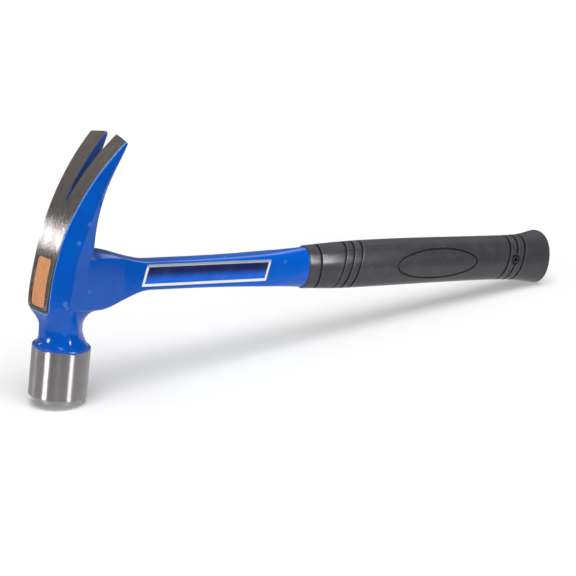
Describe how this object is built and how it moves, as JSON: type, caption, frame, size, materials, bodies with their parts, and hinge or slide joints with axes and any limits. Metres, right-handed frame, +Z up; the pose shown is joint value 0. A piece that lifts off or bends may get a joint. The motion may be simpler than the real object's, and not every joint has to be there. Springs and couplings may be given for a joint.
{
  "type": "framing hammer",
  "caption": "Steel framing hammer with a one-piece forged head and handle, straight slotted rip claws, a wooden plug in the eye of the head and a moulded rubber grip.",
  "frame": {"origin": "on the floor, below the middle of the hammer's bounding box as it stands on its striking face's rim and its butt", "axes": "+X along the handle from head to butt, +Y across the head away from the label, +Z up from the floor to the claw tips"},
  "size_m": [0.414, 0.038, 0.1579],
  "materials": {
    "enamelled_steel": "glossy blue enamel, bare polished steel on the bell, crown and claw tops",
    "hickory": "sanded, clear",
    "grip_rubber": "satin moulded",
    "label_foil": "printed film with a bright foil border"
  },
  "bodies": {
    "root": {"forged_head_and_handle": "enamelled_steel", "hickory_plug": "hickory", "cushion_grip": "grip_rubber", "foil_label": "label_foil"}
  },
  "joints": []
}
